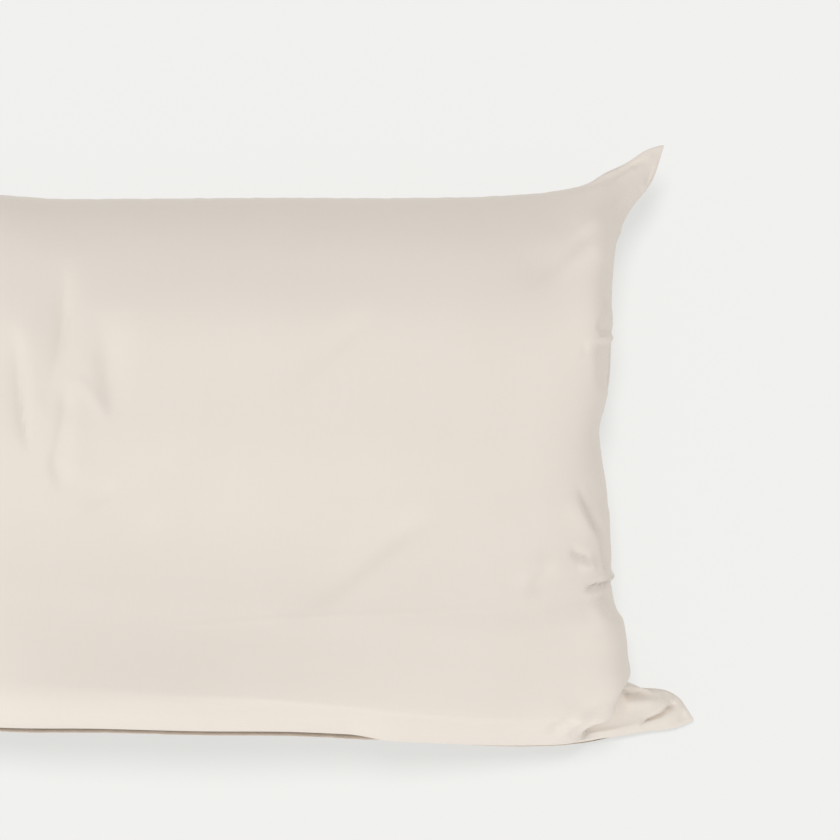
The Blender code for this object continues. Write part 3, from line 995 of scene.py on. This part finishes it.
    def _fullness(self, u: np.ndarray, v: np.ndarray, plan: np.ndarray) -> np.ndarray:
        """How much of the crown stands at each point: 0 on the seams, next to none in the ears.

        Args:
            u: places along the case, from -1 to 1.
            v: places across it, from -1 to 1.
            plan: the points, of which x and y are read.

        Returns:
            Shares of the crown.
        """
        ends = np.where(u > 0, self.closed_end_fullness, self.open_end_fullness)
        start, end = self.lower_turn
        share = smooth_step((plan[..., 0] - start) / (end - start))
        lower = self.lower_fullness[0] + (self.lower_fullness[1] - self.lower_fullness[0]) * share
        sides = np.where(v > 0, self.upper_fullness, lower)
        full = (1.0 - np.abs(u) ** ends) ** (1.0 / ends) * (1.0 - np.abs(v) ** sides) ** (1.0 / sides)
        for ear in EARS:
            distance = np.hypot(plan[..., 0] - ear.x, plan[..., 1] - ear.y)
            full *= 1.0 - bell(distance, ear.reach)
        distance = self._from_crease(plan)[1]
        root = smooth_step((distance - self.root_start) / (self.root_end - self.root_start))
        ear_fullness = self.low_ear_fullness + self.root_fullness * root
        rise = smooth_step((distance - self.crease_start) / (self.crease_end - self.crease_start))
        return full * (ear_fullness + (1.0 - ear_fullness) * rise)

    def _tucked(self, points: np.ndarray) -> np.ndarray:
        """Moves the front's cloth round the low ear, so that its bulge stands over the root.

        Args:
            points: the front's grid.

        Returns:
            The grid, with the bands moved.
        """
        away, distance, angle = self._from_crease(points)
        shift = np.zeros_like(distance)
        for band in BANDS:
            reached = smooth_step((angle - band.angle_from) / self.band_fade)
            reached *= smooth_step((band.angle_to - angle) / self.band_fade)
            shift += band.shift * reached * bell(distance - band.distance, band.half_width)
        moved = points.copy()
        moved[..., :2] += shift[..., None] * away
        return moved

    def _puckers(self, u: np.ndarray, v: np.ndarray) -> np.ndarray:
        """Height of the small uneven puckers that the seams pull into the cloth.

        Args:
            u: places along the cloth.
            v: places across it.

        Returns:
            The height in metres.
        """
        along_side, along_end = u * self.flat_length / 2, v * self.flat_width / 2
        side_wander = self.pucker_wander * np.sin(self.wander_along * along_side)
        end_wander = self.pucker_wander * np.sin(self.wander_across * along_end)
        waves = np.zeros_like(u)
        for wave in PUCKER_WAVES:
            side = np.sin(2 * np.pi * along_side / wave.length + wave.phase + side_wander)
            end = np.sin(2 * np.pi * along_end / wave.length + wave.phase + end_wander)
            waves += side * bell(1.0 - np.abs(v), self.pucker_reach) * self.side_puckers
            waves += end * bell(1.0 - u, self.pucker_reach)
        return waves * self.pucker_height

    @staticmethod
    def _clear_of_ears(points: np.ndarray) -> np.ndarray:
        """How clear each point is of the ears.

        Args:
            points: the points, of which x and y are read.

        Returns:
            1 away from the ears, falling to 0 in them.
        """
        clear = np.ones(points.shape[:-1])
        for ear in (*EARS, LOW_EAR):
            distance = np.hypot(points[..., 0] - ear.x, points[..., 1] - ear.y)
            clear *= 1.0 - bell(distance, ear.reach)
        return clear

    def _lip_share(self, seams: np.ndarray) -> np.ndarray:
        """How much of the lip there is at each place: less towards the closed end."""
        share = smooth_step((self.lip_end + self.lip_fade - seams[..., 0]) / self.lip_fade)
        return self._clear_of_ears(seams) * (self.lip_beyond + (1.0 - self.lip_beyond) * share)

    def _grooved(self, points: np.ndarray, layout: Layout) -> np.ndarray:
        """A panel's points, drawn in along the sewn seams as the stitches pull them.

        Args:
            points: the panel's grid.
            layout: what it is laid out on.

        Returns:
            The grid, with a groove along each sewn seam that dies away in the ears.
        """
        pull = bell(points[..., 2] - layout.seams[..., 2], self.groove_height) * self.groove_depth
        pull *= self._clear_of_ears(points) * (1.0 - self._lip_share(layout.seams) * (layout.v < 0))
        along = np.maximum(layout.u, 0.0) ** self.groove_cling
        across = np.sign(layout.v) * np.abs(layout.v) ** self.groove_cling
        drawn = points.copy()
        drawn[..., :2] -= pull[..., None] * np.stack((along, across), axis=-1)
        return drawn

    def _lipped(self, points: np.ndarray, section: tuple[LipPoint, ...], layout: Layout) -> np.ndarray:
        """A panel's points, moved so that the back stands out as a lip below the lower seam.

        Args:
            points: the panel's grid.
            section: where the cloth runs beside the seam.
            layout: what the panel is laid out on.

        Returns:
            The grid, with the section laid in beside the lower seam.
        """
        rows = np.array(section) * MM
        run = (1.0 + layout.v) * self.side_run
        share = self._lip_share(layout.seams)
        own = share * smooth_step((self.lip_own + self.lip_blend - run) / self.lip_blend)
        seam_level = layout.seams[:, :1, 2]
        rise = np.minimum(seam_level / self.lip_full_height, 1.0)
        level = seam_level + rise * np.interp(run, rows[:, 0], rows[:, 2])
        moved = points.copy()
        moved[..., 1] += share * (run < rows[-1, 0]) * np.interp(run, rows[:, 0], rows[:, 1])
        moved[..., 2] += own * (level - moved[..., 2])
        return moved

    def _hem(self, u: np.ndarray) -> np.ndarray:
        """Height of the back's hem and of the groove that its stitches lie in.

        Args:
            u: places along the cloth.

        Returns:
            The height in metres.
        """
        from_mouth = (1.0 + u) * self.flat_length / 2
        inside = self.hem_width + self.hem_softness - from_mouth
        band = smooth_step(inside / (2 * self.hem_softness)) * self.hem_step
        from_groove = from_mouth - self.hem_width + self.hem_groove_inset
        return band - self.hem_groove * bell(from_groove, self.hem_groove_width)

    def _relief(self, points: np.ndarray, folds: tuple[Fold, ...], layout: Layout) -> np.ndarray:
        """Height of a panel's folds and puckers, which die away at its very edge.

        Args:
            points: the panel's grid.
            folds: its folds.
            layout: what it is laid out on.

        Returns:
            The height in metres.
        """
        near_seam = smooth_step(layout.edge / self.fold_margin)
        folded = sum(fold.relief(points) for fold in folds) * near_seam
        return folded + self._puckers(layout.u, layout.v) * near_seam

    def _layout(self) -> Layout:
        """Lays out the cloth's grid and the surface through its seams.

        Returns:
            The layout of both panels.
        """
        u_lines = self._lines(self.cells_along, self.column_crowding)
        v_lines = self._lines(self.cells_across, self.row_crowding)
        u, v = np.meshgrid(u_lines, v_lines, indexing="ij")
        along = self._drawn(u, v, self.open_end_fullness, self.closed_end_fullness, self.half_length)
        across = self._drawn(v, u, sum(self.lower_fullness) / 2, self.upper_fullness, self.half_width)
        seams = self._seam_surface(along, across)
        edge = 1.0 - np.maximum(np.abs(u), np.abs(v))
        return Layout(u, v, seams, self._fullness(along, across, seams), edge)

    def _front(self, layout: Layout) -> np.ndarray:
        """Works out the front, from its crown to the lip at its seam.

        Args:
            layout: what it is laid out on.

        Returns:
            The front's grid.
        """
        front = layout.seams.copy()
        front[..., 2] += self.front_crown * layout.full
        inside = smooth_step(layout.edge / self.seam_margin)
        front = front + inside[..., None] * (self._tucked(front) - front)
        front[..., 2] += sum(swell.relief(front) for swell in SWELLS) * inside
        front += normals_of(front) * self._relief(front, FRONT_FOLDS, layout)[..., None]
        front[..., 2] += self.seam_thickness / 2
        return self._lipped(self._grooved(front, layout), FRONT_LIP, layout)

    def _back(self, layout: Layout) -> np.ndarray:
        """Works out the back, which lies flat where it would reach below the floor.

        Args:
            layout: what it is laid out on.

        Returns:
            The back's grid.
        """
        back = layout.seams.copy()
        back[..., 2] -= self.back_crown * layout.full
        relief = self._relief(back, BACK_FOLDS, layout) + self._hem(layout.u)
        back -= normals_of(back) * relief[..., None]
        back = self._lipped(self._grooved(back, layout), BACK_LIP, layout)
        height = back[..., 2] - self.seam_thickness / 2
        soft = self.floor_softness
        eased = np.where(height < -soft, 0.0, (height + soft) ** 2 / (4 * soft))
        back[..., 2] = np.where(height > soft, height, eased)
        return back

    def panels(self) -> Panels:
        """Works out both panels, with the mouth between them.

        Returns:
            The panels, in the frame that the solid is packed in.
        """
        layout = self._layout()
        front, back = self._front(layout), self._back(layout)
        mouth = 1.0 - layout.v[0] ** self.mouth_cling
        front[0, :, 2] += mouth * (self.mouth_gap - self.seam_thickness) / 2
        back[0, :, 2] -= mouth * (self.mouth_gap - self.seam_thickness) / 2
        edges = np.array(TOP_SEAM + RIGHT_SEAM + BOTTOM_SEAM + LEFT_SEAM)[:, :2]
        centre = np.append((edges.min(axis=0) + edges.max(axis=0)) / 2, 0.0)
        flat = np.zeros_like(layout.u)
        cloth = (layout.u * self.flat_length / 2, layout.v * self.flat_width / 2, flat)
        return Panels(front - centre, back - centre, np.stack(cloth, axis=-1), mouth)

    @staticmethod
    def _rim(grid: np.ndarray) -> np.ndarray:
        """The points round a grid's edge, anticlockwise from the lower left corner."""
        return np.concatenate((grid[:-1, 0], grid[-1, :-1], grid[:0:-1, -1], grid[0, :0:-1]))

    def _rim_outward(self, grid: np.ndarray) -> np.ndarray:
        """Level unit vectors out of the case, all round a grid's rim.

        Args:
            grid: the grid.

        Returns:
            One vector for each point of the rim.
        """
        rim = self._rim(grid)
        run = np.roll(rim, -1, axis=0) - np.roll(rim, 1, axis=0)
        return unit(np.stack((run[:, 1], -run[:, 0], np.zeros(len(run))), axis=-1))

    def build(self, panels: Panels) -> bpy.types.Object:
        """Makes the case's mesh and object, with rounded seams and the mouth's slit.

        Args:
            panels: what the method panels works out.

        Returns:
            The object, one closed mesh with the cloth's places on its points.
        """
        front, back, cloth = panels.front, panels.back, panels.cloth
        mesh = ClothMesh()
        fine = self._rim(mesh.add_panel(front, cloth, True))
        coarse = self._rim(mesh.add_panel(back[::2, ::2], cloth[::2, ::2] + BACK_PLACE, False))

        top, bottom, places = self._rim(front), self._rim(back), self._rim(cloth)
        outward = self._rim_outward(front)
        mouth = np.concatenate((np.zeros(len(top) - front.shape[1] + 1), panels.mouth[:0:-1]))
        reach = np.where(mouth > 0, -self.mouth_depth * mouth, self.seam_thickness / 2)
        loops = [fine]
        for step in range(1, self.rim_steps):
            turn = math.pi * step / self.rim_steps
            middle = (top + bottom) / 2 + (top - bottom) / 2 * math.cos(turn)
            loops.append(mesh.add_points(middle + outward * (math.sin(turn) * reach)[:, None], places))
        for upper, lower in zip(loops, loops[1:]):
            mesh.join(upper, lower)
        mesh.join_coarser(loops[-1], coarse)
        return add_smooth_mesh("pillowcase_cloth", mesh.mesh)

    def dress(self, case: bpy.types.Object) -> None:
        """Gives the case its finish and its body, and hides the imported solid.

        Args:
            case: the case's object.
        """
        case.data.materials.append(self.finish.make())
        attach(case, "root")
        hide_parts(CASE_NODE)


@dataclass
class HemStitches:
    """The row of machine stitches that holds the hem of the back's open end."""

    pitch: float = 0.003
    length: float = 0.0023
    thickness: float = 0.0005
    from_mouth: float = 0.022
    side_margin: float = 0.012
    sides: int = 6
    rings: int = 7
    end_thickness: float = 0.35
    end_taper: float = 0.96
    rise: float = 0.9
    arch: float = 1.1
    look_ahead: float = 1e-4
    finish: ThreadFinish = field(default_factory=ThreadFinish)

    def _add_stitch(self, mesh: Any, middle: float, across: np.ndarray, line: np.ndarray,
                    normals: np.ndarray) -> None:
        """Adds one short arched thread, thinner at its ends.

        Args:
            mesh: the mesh that it is added to.
            middle: its place across the cloth.
            across: the line's places across the cloth.
            line: the points that the stitches run along.
            normals: the unit vectors out of the cloth at those points.
        """
        rings = []
        for step in np.linspace(-1.0, 1.0, self.rings):
            at = middle + step * self.length / 2
            point, up = read_between(at, across, line), read_between(at, across, normals)
            run = read_between(at + self.look_ahead, across, line) - point
            beside = np.cross(run / np.linalg.norm(run), up)
            swelling = (1.0 - self.end_thickness) * math.sqrt(1.0 - self.end_taper * step * step)
            thick = self.thickness / 2 * (self.end_thickness + swelling)
            centre = point + up * self.thickness * (self.rise - self.arch * step * step)
            turns = [2 * math.pi * k / self.sides for k in range(self.sides)]
            rings.append([
                mesh.verts.new(centre + thick * (math.cos(turn) * beside + math.sin(turn) * up))
                for turn in turns
            ])
        for first, second in zip(rings, rings[1:]):
            for k in range(self.sides):
                after = (k + 1) % self.sides
                mesh.faces.new([first[k], first[after], second[after], second[k]])
        mesh.faces.new(rings[0][::-1])
        mesh.faces.new(rings[-1])

    def build(self, panels: Panels) -> bpy.types.Object:
        """Lays the row of stitches along the hem's groove.

        Args:
            panels: the case's panels.

        Returns:
            The object that holds all the stitches.
        """
        cloth, back = panels.cloth, panels.back
        column = int(np.argmin(np.abs(cloth[:, 0, 0] - cloth[0, 0, 0] - self.from_mouth)))
        across, line, normals = cloth[column, :, 1], back[column], -normals_of(back)[column]
        half = across[-1] - self.side_margin
        mesh = bmesh.new()
        for middle in np.arange(-half, half, self.pitch):
            self._add_stitch(mesh, middle, across, line, normals)
        bmesh.ops.recalc_face_normals(mesh, faces=mesh.faces)
        return add_smooth_mesh("hem_stitches", mesh)

    def dress(self, stitches: bpy.types.Object) -> None:
        """Gives the stitches their thread and their body.

        Args:
            stitches: the stitches' object.
        """
        stitches.data.materials.append(self.finish.make())
        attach(stitches, "root")


# ---------------------------------------------------------------- the studio

class SoftLight(NamedTuple):
    """A soft light from far away.

    Towards is where it stands as seen from the case, its strength is in watts a square metre
    and its width in degrees.
    """

    name: str
    towards: tuple[float, float, float]
    strength: float
    width: float


@dataclass(frozen=True)
class Studio:
    """A pale floor, soft light and a camera straight above, as in the photograph."""

    floor_size: float = 30.0
    floor_gap: float = 0.0003
    camera_height: float = 4.065
    seam_height: float = 0.065
    view_width: float = 0.6804
    view_centre: tuple[float, float] = (0.1361, 0.0234)
    view_depth: float = 100.0
    sensor_width: float = 36.0
    window: SoftLight = SoftLight("window_light", (-0.62, -0.82, 1.00), 0.95, 40.0)
    overhead: SoftLight = SoftLight("floor_light", (-0.04, 0.27, 0.96), 3.2, 14.0)
    air_strength: float = 0.79
    paper: StudioPaper = field(default_factory=StudioPaper)

    def lay_floor(self) -> bpy.types.Object:
        """Lays the floor, just under the case.

        Returns:
            The floor's object.
        """
        half = self.floor_size / 2
        data = bpy.data.meshes.new("studio_floor")
        corners = [(-half, -half, 0), (half, -half, 0), (half, half, 0), (-half, half, 0)]
        data.from_pydata(corners, [], [(0, 1, 2, 3)])
        data.materials.append(self.paper.make())
        floor = add_object("studio_floor", data)
        floor.location.z = -self.floor_gap
        return floor

    def set_camera(self) -> None:
        """Hangs a long lens over the closed end, with the photograph's framing."""
        camera = bpy.data.cameras.new("overhead_camera")
        camera.sensor_width = self.sensor_width
        camera.lens = camera.sensor_width * (self.camera_height - self.seam_height) / self.view_width
        camera.clip_end = self.view_depth
        hung = add_object("overhead_camera", camera)
        hung.location = (*self.view_centre, self.camera_height)
        bpy.context.scene.camera = hung

    @staticmethod
    def _hang(light: SoftLight, lit: list[bpy.types.Object]) -> None:
        """Hangs one light.

        Args:
            light: the light.
            lit: the only objects that it lights.
        """
        sun = bpy.data.lights.new(light.name, "SUN")
        sun.energy = light.strength
        sun.angle = math.radians(light.width)
        lamp = add_object(light.name, sun)
        lamp.rotation_euler = Vector(light.towards).to_track_quat("Z", "Y").to_euler()
        group = bpy.data.collections.new(f"{light.name}_lights")
        for thing in lit:
            group.objects.link(thing)
        lamp.light_linking.receiver_collection = group

    def light(self, pieces: list[bpy.types.Object], floor: bpy.types.Object) -> None:
        """Lights the case from the lower left and the floor from above, both softly.

        Args:
            pieces: the objects that the case is made of.
            floor: the floor.
        """
        self._hang(self.window, pieces)
        self._hang(self.overhead, [floor])
        world = bpy.data.worlds.new("studio_air")
        world.use_nodes = True
        air = world.node_tree.nodes["Background"]
        air.inputs["Color"].default_value = (1.0, 1.0, 1.0, 1.0)
        air.inputs["Strength"].default_value = self.air_strength
        bpy.context.scene.world = world
        bpy.context.scene.view_settings.view_transform = "Standard"


def main() -> None:
    """Builds the case, its sewing and the studio, in that order."""
    logging.basicConfig(level=logging.INFO, format="%(name)s: %(message)s")
    filled_case = FilledCase()
    panels = filled_case.panels()
    case = filled_case.build(panels)
    filled_case.dress(case)
    LOG.info("case: %d faces", len(case.data.polygons))
    hem_stitches = HemStitches()
    stitches = hem_stitches.build(panels)
    hem_stitches.dress(stitches)
    LOG.info("hem stitches: %d faces", len(stitches.data.polygons))
    studio = Studio()
    floor = studio.lay_floor()
    studio.set_camera()
    studio.light([case, stitches], floor)
    LOG.info("studio: floor, camera and two lights")


if __name__ == "__main__":
    main()
